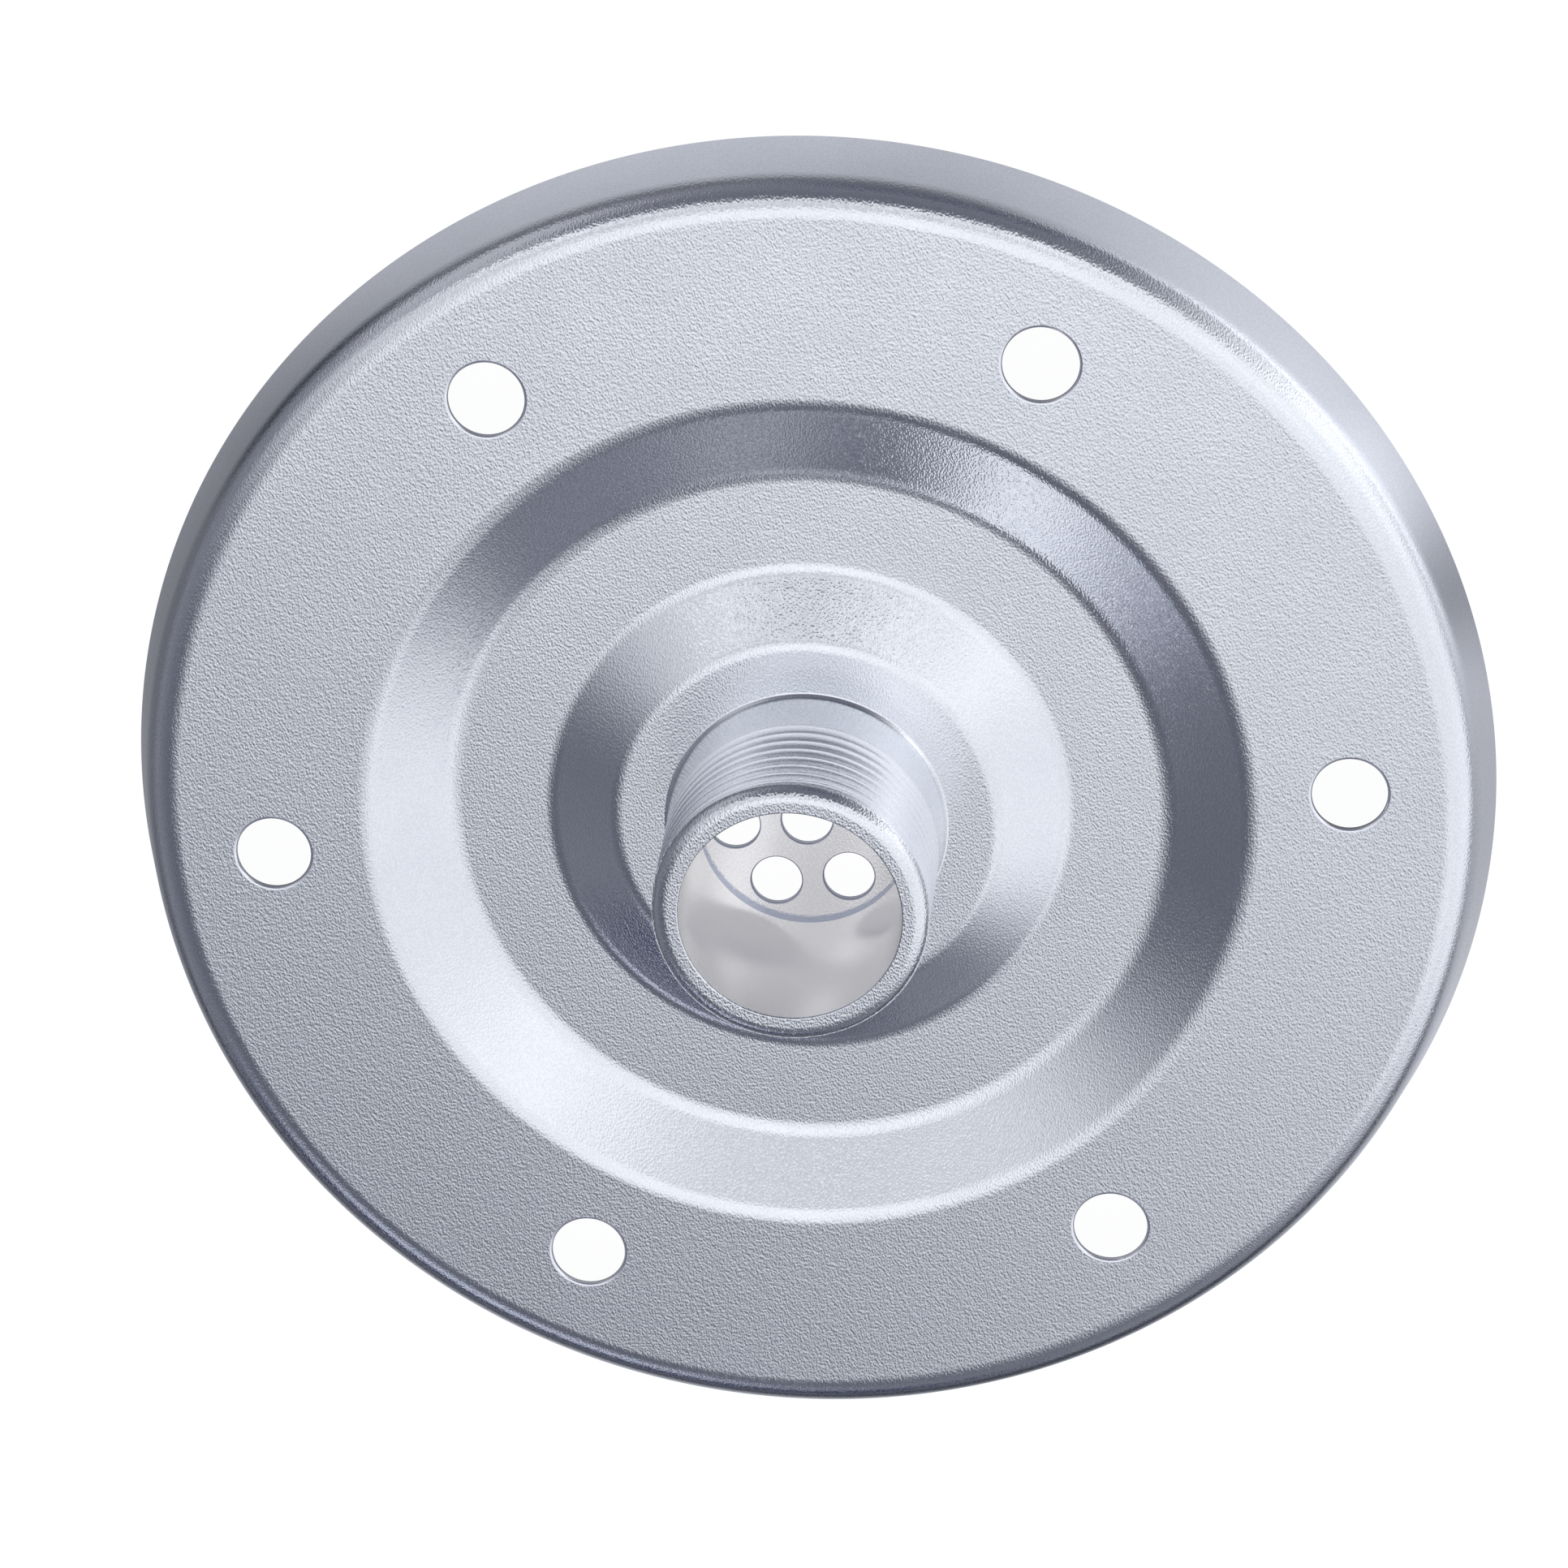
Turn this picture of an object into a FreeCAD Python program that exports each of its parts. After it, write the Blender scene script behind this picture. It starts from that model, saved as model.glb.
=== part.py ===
# Tank flange: a pressed steel plate, a threaded nipple welded on its face and a strainer behind it.
#
# The frame: +Z runs along the nipple towards its mouth, Z = 0 is the edge of the skirt that the flange
# stands on, and one bolt hole lies on +X. Sizes are in millimetres and angles in degrees. A level is a
# height over the skirt's edge.
import FreeCAD, Part

import math
import os

# Driving dimensions of the pressed plate. Its levels are those of its upper face.
sheet_thickness = 1.0
land_level = 11.6
recess_drop = 4.65
boss_drop = 0.2

bolt_circle_diameter = 134.0
bolt_hole_diameter = 9.3
bolt_hole_count = 6
punched_edge_rounding = 0.4

# The two pressed steps, each from the corner at its outer end to the corner at its inner end. The land
# reaches inwards and outwards from the bolt circle, and the boss reaches outwards from the nipple.
land_inner_margin = 12.3
outer_step_width = 10.1
outer_step_bend_radius = 5.8
inner_step_width = 8.3
inner_step_bend_radius = 3.9
boss_margin = 6.9

land_outer_margin = 15.15
rim_bend_radius = 5.0
skirt_flare_angle = 14.6
skirt_edge_rounding = 0.2

# Driving dimensions of the nipple: a piece of 1 inch pipe with a 1 inch parallel pipe thread, which is
# left here as the plain cylinder of its crests.
pipe_outer_diameter = 33.7
pipe_wall = 3.4
nipple_length = 27.35
thread_major_diameter = 33.25
thread_length = 19.8
thread_runout = 0.3
mouth_land_width = 1.05
mouth_crown_drop = 1.3
mouth_inner_rounding = 0.25
weld_leg = 1.0
weld_toe = 0.06

# Driving dimensions of the strainer, a perforated disc that covers the nipple's foot from behind.
strainer_thickness = 1.0
strainer_overlap = 5.0
strainer_hole_diameter = 6.3
strainer_hole_count = 6
strainer_circle_diameter = 18.1
strainer_edge_rounding = 0.15

# Levels and radii that follow from the driving dimensions.
recess_level = land_level - recess_drop
boss_level = land_level - boss_drop
mouth_level = boss_level + nipple_length
thread_start_level = mouth_level - thread_length
strainer_level = boss_level - sheet_thickness

bolt_circle_radius = bolt_circle_diameter / 2
pipe_radius = pipe_outer_diameter / 2
bore_radius = pipe_radius - pipe_wall
thread_radius = thread_major_diameter / 2
boss_radius = pipe_radius + boss_margin
recess_inner_radius = boss_radius + inner_step_width
land_inner_radius = bolt_circle_radius - land_inner_margin
recess_outer_radius = land_inner_radius - outer_step_width
rim_radius = bolt_circle_radius + land_outer_margin
skirt_edge_radius = rim_radius + land_level * math.tan(math.radians(skirt_flare_angle))
strainer_radius = bore_radius + strainer_overlap

AXIS = FreeCAD.Vector(0, 0, 1)
CENTRE = FreeCAD.Vector(0, 0, 0)


def at(radius, level):
    """The point of a section in the XZ plane, at a radius from the axis and a level."""
    return FreeCAD.Vector(radius, 0, level)


def direction(start, end):
    """The way from one point of a section to another, with length 1."""
    return (end - start).normalize()


def left_of(way):
    """A way turned a quarter turn to its left in the XZ plane, seen with X right and Z up."""
    return FreeCAD.Vector(-way.z, 0, way.x)


def bend(before, corner, after, radius):
    """The start, middle and end of the arc that rounds a corner of a path, and the arc's centre."""
    way_in = direction(before, corner)
    way_out = direction(corner, after)
    setback = radius * math.tan(way_in.getAngle(way_out) / 2)
    start = corner - way_in * setback
    end = corner + way_out * setback
    side = left_of(way_in)
    if side.dot(way_out) < 0:
        side = side * -1
    centre = start + side * radius
    middle = centre + direction(centre, corner) * radius
    return start, middle, end, centre


def parallel_bend(arc, distance):
    """The start, middle and end of a bend moved to the right of the path by a distance."""
    start, middle, end, centre = arc
    right = left_of(direction(start, end)) * -1
    outwards = 1 if right.dot(middle - centre) > 0 else -1
    radius = (start - centre).Length + outwards * distance
    return tuple(centre + direction(centre, point) * radius for point in (start, middle, end))


def path_edges(stations):
    """The edges of a path through stations, each of them one point or the three points of an arc."""
    edges = []
    for station, following in zip(stations, stations[1:]):
        edges += arc_edges(station)
        edges.append(Part.makeLine(station[-1], following[0]))
    return edges + arc_edges(stations[-1])


def arc_edges(station):
    """The edge of a station that is an arc, and none for a station that is a point."""
    return [Part.Arc(*station).toShape()] if len(station) == 3 else []


def turned(edges):
    """The solid that the closed outline of a section sweeps in a full turn about the axis."""
    outline = Part.Wire(Part.__sortEdges__(edges))
    return Part.Face(outline).revolve(CENTRE, AXIS, 360)


def sheet_outline(corners, radii, thickness):
    """The closed outline of a bent sheet whose upper face follows the corners from left to right.

    Each inner corner is rounded by its radius. The lower face is parallel to the upper one, the left
    end is cut square to the sheet, and the right end is trimmed level.
    """
    bends = [bend(*corners[i:i + 3], radius) for i, radius in enumerate(radii)]
    first_way = direction(corners[0], corners[1])
    last_way = direction(corners[-2], corners[-1])
    trimmed_width = thickness / abs(last_way.z)

    upper = [(corners[0],)] + [arc[:3] for arc in bends] + [(corners[-1],)]
    lower = [(corners[0] - left_of(first_way) * thickness,)]
    lower += [parallel_bend(arc, thickness) for arc in bends]
    lower += [(corners[-1] - at(trimmed_width, 0),)]
    ends = [Part.makeLine(upper[0][0], lower[0][0]), Part.makeLine(upper[-1][0], lower[-1][0])]
    return path_edges(upper) + path_edges(lower) + ends


def places_on_circle(count, diameter):
    """The places of holes spaced evenly on a circle about the axis, the first of them on +X."""
    turns = (2 * math.pi * i / count for i in range(count))
    return [FreeCAD.Vector(math.cos(turn), math.sin(turn), 0) * (diameter / 2) for turn in turns]


def punched(sheet, places, diameter, level, thickness):
    """A sheet with a round hole punched through it at each place, where its upper face has a level."""
    low = FreeCAD.Vector(0, 0, level - 2 * thickness)
    punches = [Part.makeCylinder(diameter / 2, 3 * thickness, place + low) for place in places]
    return sheet.cut(Part.makeCompound(punches))


def rounded_at(solid, levels, radii, rounding):
    """A solid whose circular edges with one of the radii, at one of the levels, are rounded."""
    edges = [
        edge
        for edge in solid.Edges
        if isinstance(edge.Curve, Part.Circle)
        and any(abs(edge.Curve.Radius - radius) < 1e-6 for radius in radii)
        and any(abs(edge.CenterOfMass.z - level) < 1e-6 for level in levels)
    ]
    return solid.makeFillet(rounding, edges)


def flange_plate():
    """The pressed plate: a boss round the nipple, a round recess, the land with its holes, a skirt."""
    upper_corners = [
        at(bore_radius, boss_level),
        at(boss_radius, boss_level),
        at(recess_inner_radius, recess_level),
        at(recess_outer_radius, recess_level),
        at(land_inner_radius, land_level),
        at(rim_radius, land_level),
        at(skirt_edge_radius, 0),
    ]
    radii = [inner_step_bend_radius] * 2 + [outer_step_bend_radius] * 2 + [rim_bend_radius]
    plate = turned(sheet_outline(upper_corners, radii, sheet_thickness))

    places = places_on_circle(bolt_hole_count, bolt_circle_diameter)
    plate = punched(plate, places, bolt_hole_diameter, land_level, sheet_thickness)
    faces = [land_level, land_level - sheet_thickness]
    rounding = min(punched_edge_rounding, 0.45 * sheet_thickness)
    plate = rounded_at(plate, faces, [bolt_hole_diameter / 2], rounding)

    trimmed_width = sheet_thickness / math.cos(math.radians(skirt_flare_angle))
    edge_radii = [skirt_edge_radius, skirt_edge_radius - trimmed_width]
    return rounded_at(plate, [0], edge_radii, skirt_edge_rounding)


def threaded_nipple():
    """The nipple: its foot stands on the boss with a weld round it, and its mouth is crowned."""
    weld_top_level = boss_level + weld_toe + weld_leg
    weld_radius = pipe_radius + weld_leg
    weld_middle = 1 - math.sqrt(0.5)
    weld = (
        at(weld_radius, boss_level + weld_toe),
        at(pipe_radius + weld_middle * weld_leg, weld_top_level - (1 - weld_middle) * weld_leg),
        at(pipe_radius, weld_top_level),
    )
    inner_rounding = (
        at(bore_radius + mouth_inner_rounding, mouth_level),
        at(bore_radius + weld_middle * mouth_inner_rounding,
           mouth_level - weld_middle * mouth_inner_rounding),
        at(bore_radius, mouth_level - mouth_inner_rounding),
    )
    stations = [
        (at(bore_radius, boss_level),),
        (at(weld_radius, boss_level),),
        weld,
        (at(pipe_radius, thread_start_level),),
        (at(thread_radius, thread_start_level + thread_runout),),
        mouth_crown(),
        inner_rounding,
        (at(bore_radius, boss_level),),
    ]
    return turned(path_edges(stations))


def mouth_crown():
    """The arc from the thread's end up to the mouth's flat ring, which it meets with no edge."""
    inner_radius = bore_radius + mouth_land_width
    width = thread_radius - inner_radius
    radius = (width ** 2 + mouth_crown_drop ** 2) / (2 * mouth_crown_drop)
    centre = at(inner_radius, mouth_level - radius)
    turn = math.asin(width / radius)
    middle = centre + at(math.sin(turn / 2), math.cos(turn / 2)) * radius
    return at(thread_radius, mouth_level - mouth_crown_drop), middle, at(inner_radius, mouth_level)


def strainer_plate():
    """The strainer: a disc against the back of the boss, with a hole at its centre and a ring of holes."""
    low = at(0, strainer_level - strainer_thickness)
    disc = Part.makeCylinder(strainer_radius, strainer_thickness, low)
    places = [CENTRE] + places_on_circle(strainer_hole_count, strainer_circle_diameter)
    disc = punched(disc, places, strainer_hole_diameter, strainer_level, strainer_thickness)
    return rounded_at(disc, [low.z], [strainer_radius], strainer_edge_rounding)


def export(nodes):
    """Writes each node's solid to a file of its own, named after the node."""
    os.makedirs("parts", exist_ok=True)
    for name, solid in nodes.items():
        solid.exportStep("parts/" + name + ".step")


if __name__ == "__main__":
    export(
        {
            "flange_plate": flange_plate(),
            "threaded_nipple": threaded_nipple(),
            "strainer_plate": strainer_plate(),
        }
    )
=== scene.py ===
"""Looks of a pressed tank flange: a zinc-coated cover plate, its threaded nipple and its strainer disc.

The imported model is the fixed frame. Each of its three pieces is worked out again as a fine closed
surface with exact shading normals, which stands for its CAD node, and a small studio with soft boxes is
set round them. Everything is in metres; sizes below are written in millimetres.
"""

import logging
import math
from dataclasses import dataclass, replace
from enum import Enum, IntEnum

import bpy
import numpy as np
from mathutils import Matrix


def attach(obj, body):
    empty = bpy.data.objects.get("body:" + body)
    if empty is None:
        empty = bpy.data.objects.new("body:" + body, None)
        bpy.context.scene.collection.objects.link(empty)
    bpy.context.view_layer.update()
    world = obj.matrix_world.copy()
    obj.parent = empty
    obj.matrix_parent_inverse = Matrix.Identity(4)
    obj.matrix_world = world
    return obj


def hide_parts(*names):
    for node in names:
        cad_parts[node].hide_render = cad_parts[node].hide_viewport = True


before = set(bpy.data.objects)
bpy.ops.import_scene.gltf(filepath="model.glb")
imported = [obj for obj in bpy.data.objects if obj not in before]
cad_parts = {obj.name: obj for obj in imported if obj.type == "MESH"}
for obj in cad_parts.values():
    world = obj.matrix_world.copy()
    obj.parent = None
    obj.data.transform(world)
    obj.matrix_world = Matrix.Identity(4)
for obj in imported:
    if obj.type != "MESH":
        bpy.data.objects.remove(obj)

MM = 0.001
# points that fall on the same step of this grid are one point of a mesh
MERGE_STEPS_PER_MM = 20000
# the noise values at which a pattern counts as all hollow or all crest; few lie outside them
NOISE_LOW, NOISE_HIGH = 0.3, 0.7
WHITE = (1.0, 1.0, 1.0, 1.0)
LOG = logging.getLogger("tank_flange")


class Slot(Enum):
    """The record's material slots."""

    SHEET = "galvanised_plate"
    PIPE = "galvanised_pipe"
    DISC = "plain_steel_disc"


class Node(Enum):
    """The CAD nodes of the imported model."""

    PLATE = "flange_plate"
    NIPPLE = "threaded_nipple"
    STRAINER = "strainer_plate"


class Area(IntEnum):
    """The areas of a piece that are finished differently, in the order of its finishes."""

    OUTSIDE = 0
    WORKED = 1
    BORE = 2


# Colours and node trees


def linear(hex_colour: str) -> tuple[float, float, float, float]:
    """Turn an sRGB hex colour into linear values.

    A share c of full up to 0.04045 becomes c / 12.92, and a greater one ((c + 0.055) / 1.055) to the
    power of 2.4.

    Args:
        hex_colour: six hex digits after a hash sign.

    Returns:
        Red, green, blue and an alpha of 1.
    """
    parts = [int(hex_colour[i : i + 2], 16) / 255 for i in (1, 3, 5)]
    red, green, blue = [c / 12.92 if c <= 0.04045 else ((c + 0.055) / 1.055) ** 2.4 for c in parts]
    return red, green, blue, 1.0


def add_node(
    tree: bpy.types.NodeTree,
    kind: str,
    values: dict | None = None,
    links: dict | None = None,
    **settings: object,
) -> bpy.types.Node:
    """Add one node with its settings, its fixed values and its incoming links.

    Args:
        tree: the node tree to add to.
        kind: the node's type, such as ShaderNodeBump.
        values: socket name or number to fixed value.
        links: socket name or number to the output that feeds it.
        settings: properties of the node itself.

    Returns:
        The new node.
    """
    node = tree.nodes.new(kind)
    for name, setting in settings.items():
        setattr(node, name, setting)
    for socket, value in (values or {}).items():
        node.inputs[socket].default_value = value
    for socket, output in (links or {}).items():
        tree.links.new(output, node.inputs[socket])
    return node


# Sections and surfaces


def smooth_step(share: np.ndarray) -> np.ndarray:
    """Ease a share in and out.

    With s the share held between 0 and 1, the result is s squared times (3 - 2 s).

    Args:
        share: how far along, 0 at the start and 1 at the end.

    Returns:
        The eased share, level at both ends.
    """
    held = np.clip(share, 0, 1)
    return held**2 * (3 - 2 * held)


@dataclass(frozen=True)
class Section:
    """A line in the half plane of radius and height, with the direction square to it at each point."""

    points: np.ndarray
    normals: np.ndarray

    def shifted(self, distance: float) -> "Section":
        """The line moved along its normals by a distance, with the same normals."""
        return Section(self.points + distance * self.normals, self.normals)

    def turned_round(self) -> "Section":
        """The same line run backwards, facing the other way."""
        return Section(self.points[::-1], -self.normals[::-1])

    def part(self, first: int, last: int) -> "Section":
        """The stretch from one point to another, both kept."""
        return Section(self.points[first : last + 1], self.normals[first : last + 1])


def bent_section(
    corners: list[tuple[float, float]], radii: list[float], step_degrees: float = 2.5
) -> Section:
    """Join straight runs by arcs that touch both of them.

    At a corner with turn angle A and bend radius R the arc starts R tan(A/2) before the corner, and its
    points are the arc's centre plus R times the unit circle between the two touching directions. The
    normal of a point is the direction of travel turned a quarter turn to the left.

    Args:
        corners: radius and height of each corner of the line, ends included.
        radii: bend radius at each inner corner.
        step_degrees: the largest turn between two points of an arc.

    Returns:
        The section, facing left of its direction of travel.
    """
    spots = np.array(corners, float)
    runs = np.diff(spots, axis=0)
    ways = runs / np.linalg.norm(runs, axis=1, keepdims=True)
    headings = np.unwrap(np.arctan2(ways[:, 1], ways[:, 0]))
    points, turns = [spots[:1]], [headings[:1]]
    for corner, radius, before, after in zip(spots[1:-1], radii, headings[:-1], headings[1:]):
        turn = after - before
        side = math.copysign(1.0, turn)
        way = np.array([math.cos(before), math.sin(before)])
        start = corner - way * radius * math.tan(abs(turn) / 2)
        centre = start + side * radius * np.array([-math.sin(before), math.cos(before)])
        count = max(2, math.ceil(math.degrees(abs(turn)) / step_degrees) + 1)
        angles = np.linspace(before, after, count)
        points.append(centre + side * radius * np.stack([np.sin(angles), -np.cos(angles)], 1))
        turns.append(angles)
    points.append(spots[-1:])
    turns.append(headings[-1:])
    angles = np.concatenate(turns)
    return Section(np.concatenate(points), np.stack([-np.sin(angles), np.cos(angles)], 1))


@dataclass(frozen=True)
class Surface:
    """Points with their shading normals, four-sided faces over them, and the area they belong to."""

    points: np.ndarray
    normals: np.ndarray
    faces: np.ndarray
    area: Area = Area.OUTSIDE

    def within(self, area: Area) -> "Surface":
        """The same surface as part of another area of its piece."""
        return replace(self, area=area)

    def facing_out(self) -> "Surface":
        """Turn round each face whose winding disagrees with the normals of its corners.

        A face's own direction is the cross product of its diagonals. Where it points against the sum of
        the corners' normals, the corners are listed backwards.

        Returns:
            The surface with every face wound towards its normals.
        """
        corner = self.points[self.faces]
        across = np.cross(corner[:, 2] - corner[:, 0], corner[:, 3] - corner[:, 1])
        wrong = np.einsum("ij,ij->i", across, self.normals[self.faces].sum(1)) < 0
        faces = self.faces.copy()
        faces[wrong] = faces[wrong][:, ::-1]
        return replace(self, faces=faces)

    def turned(self, degrees: float) -> "Surface":
        """Turn the surface round the upright axis.

        With t the angle, a point (x, y, z) becomes (x cos t - y sin t, x sin t + y cos t, z).

        Args:
            degrees: the angle, counter-clockwise as seen from above.

        Returns:
            The turned surface.
        """
        c, s = math.cos(math.radians(degrees)), math.sin(math.radians(degrees))
        turn = np.array([[c, s, 0], [-s, c, 0], [0, 0, 1]])
        return replace(self, points=self.points @ turn, normals=self.normals @ turn)


def grid_surface(points: np.ndarray, normals: np.ndarray, closed: bool = True) -> Surface:
    """Make a surface from a grid of rows and columns.

    Each face joins a point, its neighbour in the next column, and the two points above them.

    Args:
        points: rows by columns by three.
        normals: the same shape.
        closed: whether the last column joins the first.

    Returns:
        The surface, its faces turned towards the normals.
    """
    rows, columns = points.shape[:2]
    index = np.arange(rows * columns).reshape(rows, columns)
    if closed:
        index = np.concatenate([index, index[:, :1]], 1)
    faces = np.stack([index[:-1, :-1], index[:-1, 1:], index[1:, 1:], index[1:, :-1]], -1)
    return Surface(points.reshape(-1, 3), normals.reshape(-1, 3), faces.reshape(-1, 4)).facing_out()


def turned_surface(section: Section, angles: np.ndarray) -> Surface:
    """Turn a section round the upright axis.

    A point at radius r and height z becomes (r cos a, r sin a, z) for each angle a.

    Args:
        section: the line to turn.
        angles: the columns' angles in radians, without the last one that would close the ring.

    Returns:
        The closed ring.
    """
    c, s = np.cos(angles)[None, :], np.sin(angles)[None, :]

    def round_axis(line: np.ndarray) -> np.ndarray:
        """Put a line of radii and heights at each angle."""
        return np.stack([line[:, :1] * c, line[:, :1] * s, np.repeat(line[:, 1:], angles.size, 1)], -1)

    return grid_surface(round_axis(section.points), round_axis(section.normals))


def make_piece(name: str, surfaces: list[Surface]) -> bpy.types.Object:
    """Join surfaces into one closed mesh whose corners keep the surfaces' own normals.

    Points that fall together are merged. The shading normal of each face corner is the one its own
    surface gave, so bends shade smoothly and true edges stay crisp.

    Args:
        name: the piece's name.
        surfaces: the surfaces, in millimetres.

    Returns:
        The object, at the origin, linked to the scene.
    """
    starts = np.cumsum([0] + [s.points.shape[0] for s in surfaces[:-1]])
    points = np.concatenate([s.points for s in surfaces])
    normals = np.concatenate([s.normals for s in surfaces])
    faces = np.concatenate([s.faces + start for s, start in zip(surfaces, starts)])
    keys = np.round(points * MERGE_STEPS_PER_MM).astype(np.int64)
    _, first, place = np.unique(keys, axis=0, return_index=True, return_inverse=True)
    mesh = bpy.data.meshes.new(name)
    mesh.from_pydata((points[first] * MM).tolist(), [], place.reshape(-1)[faces].tolist())
    mesh.polygons.foreach_set("use_smooth", np.ones(len(faces), bool))
    areas = np.concatenate([np.full(len(s.faces), s.area) for s in surfaces])
    mesh.polygons.foreach_set("material_index", areas.astype(np.int32))
    mesh.normals_split_custom_set(normals[faces].reshape(-1, 3))
    mesh.update()
    piece = bpy.data.objects.new(name, mesh)
    bpy.context.scene.collection.objects.link(piece)
    LOG.info("%s: %d faces", name, len(faces))
    return piece


# Finishes


@dataclass(frozen=True)
class ZincCoat:
    """Hot-dip galvanised steel: a pale, faintly blue metal with a fine orange-peel skin.

    The zinc froze as a thin wavy skin, so the eye sees soft, blurred reflections broken into short
    ripples where the light changes, and an almost even tone where it doesn't. With other numbers the
    same skin gives the cut, filled and bare steel of the part, which has less of the ripples; some of
    those areas get a lighter or darker colour that is painted light or painted shade.
    """

    name: str
    colour: str = "#EBEEF2"
    dull_colour: str = "#E5E9EE"
    roughness_low: float = 0.15
    roughness_high: float = 0.19
    # The real skin's grain is about 0.15 mm long and a few thousandths deep, too fine to show in the
    # render, so its ripples are drawn as coarse and as steep as they need to show.
    ripple_mm: tuple[float, float, float] = (0.22, 0.31, 0.26)
    ripple_height_mm: float = 0.030
    # how much lighter or duller than the mean the ripples' crests and hollows are
    ripple_tone: float = 0.048
    # the slow swell under the ripples, which also makes patches a little duller and rougher
    wave_mm: float = 9.0
    wave_height_mm: float = 0.005
    # levels between which the ripples grow to their full height, and their share of it below
    smooth_below_mm: float = 1.0
    full_above_mm: float = 5.6
    smooth_share: float = 0.3

    def material(self) -> bpy.types.Material:
        """Build the material: metal whose bump, tone and roughness follow the ripples and the swell.

        Returns:
            The new material.
        """
        material = bpy.data.materials.new(self.name)
        material.use_nodes = True
        tree = material.node_tree
        tree.nodes.clear()
        place = add_node(tree, "ShaderNodeTexCoord").outputs["Object"]
        scales = [1 / (length * MM) for length in self.ripple_mm]
        fine = add_node(tree, "ShaderNodeMapping", values={"Scale": scales}, links={"Vector": place})
        ripple = add_node(
            tree, "ShaderNodeTexNoise",
            values={"Scale": 1.0, "Detail": 0.0},
            links={"Vector": fine.outputs["Vector"]},
        ).outputs["Fac"]
        wave = add_node(
            tree, "ShaderNodeTexNoise",
            values={"Scale": 1 / (self.wave_mm * MM), "Detail": 1.0, "Roughness": 0.5},
            links={"Vector": place},
        ).outputs["Fac"]
        level = add_node(tree, "ShaderNodeSeparateXYZ", links={0: place}).outputs["Z"]
        fade = add_node(
            tree, "ShaderNodeMapRange", interpolation_type="SMOOTHSTEP",
            values={"From Min": self.smooth_below_mm * MM, "From Max": self.full_above_mm * MM,
                    "To Min": self.smooth_share, "To Max": 1.0},
            links={"Value": level},
        ).outputs["Result"]
        height = add_node(tree, "ShaderNodeMath", operation="MULTIPLY", links={0: ripple, 1: fade})
        broad = add_node(
            tree, "ShaderNodeBump",
            values={"Strength": 1.0, "Distance": self.wave_height_mm * MM}, links={"Height": wave},
        )
        skin = add_node(
            tree, "ShaderNodeBump",
            values={"Strength": 1.0, "Distance": self.ripple_height_mm * MM},
            links={"Height": height.outputs[0], "Normal": broad.outputs[0]},
        )
        mean = add_node(
            tree, "ShaderNodeMix", data_type="RGBA",
            values={6: linear(self.colour), 7: linear(self.dull_colour)}, links={0: wave},
        ).outputs[2]
        grain = add_node(
            tree, "ShaderNodeMapRange",
            values={"From Min": NOISE_LOW, "From Max": NOISE_HIGH,
                    "To Min": 1 - self.ripple_tone, "To Max": 1 + self.ripple_tone},
            links={"Value": ripple},
        ).outputs["Result"]
        tone = add_node(
            tree, "ShaderNodeVectorMath", operation="SCALE", links={0: mean, "Scale": grain}
        )
        gloss = add_node(
            tree, "ShaderNodeMapRange",
            values={"From Min": NOISE_LOW, "From Max": NOISE_HIGH,
                    "To Min": self.roughness_low, "To Max": self.roughness_high},
            links={"Value": wave},
        ).outputs["Result"]
        shader = add_node(
            tree, "ShaderNodeBsdfPrincipled", values={"Metallic": 1.0},
            links={"Base Color": tone.outputs[0], "Roughness": gloss, "Normal": skin.outputs[0]},
        )
        add_node(tree, "ShaderNodeOutputMaterial", links={"Surface": shader.outputs["BSDF"]})
        return material


def dress(piece: bpy.types.Object, finishes: tuple[ZincCoat, ...]) -> None:
    """Give a piece the finishes of its areas.

    Args:
        piece: the piece to dress.
        finishes: one finish for each area, in the areas' order.
    """
    for finish in finishes:
        piece.data.materials.append(finish.material())


def plainly_seen(tree: bpy.types.NodeTree) -> bpy.types.NodeSocket:
    """Tell the camera's own rays, and those that go on through clear material, from all others.

    Args:
        tree: the node tree to add to.

    Returns:
        1 for such a ray and 0 for any other.
    """
    rays = add_node(tree, "ShaderNodeLightPath").outputs
    either = add_node(
        tree, "ShaderNodeMath", operation="MAXIMUM",
        links={0: rays["Is Camera Ray"], 1: rays["Is Transmission Ray"]},
    )
    return either.outputs[0]


@dataclass(frozen=True)
class LightPool:
    """A round painted pool of light on the table, or of painted shade where its strength is below zero,
    strongest in its middle and gone at its rim.
    """

    x_mm: float
    y_mm: float
    radius_mm: float
    strength: float


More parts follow.
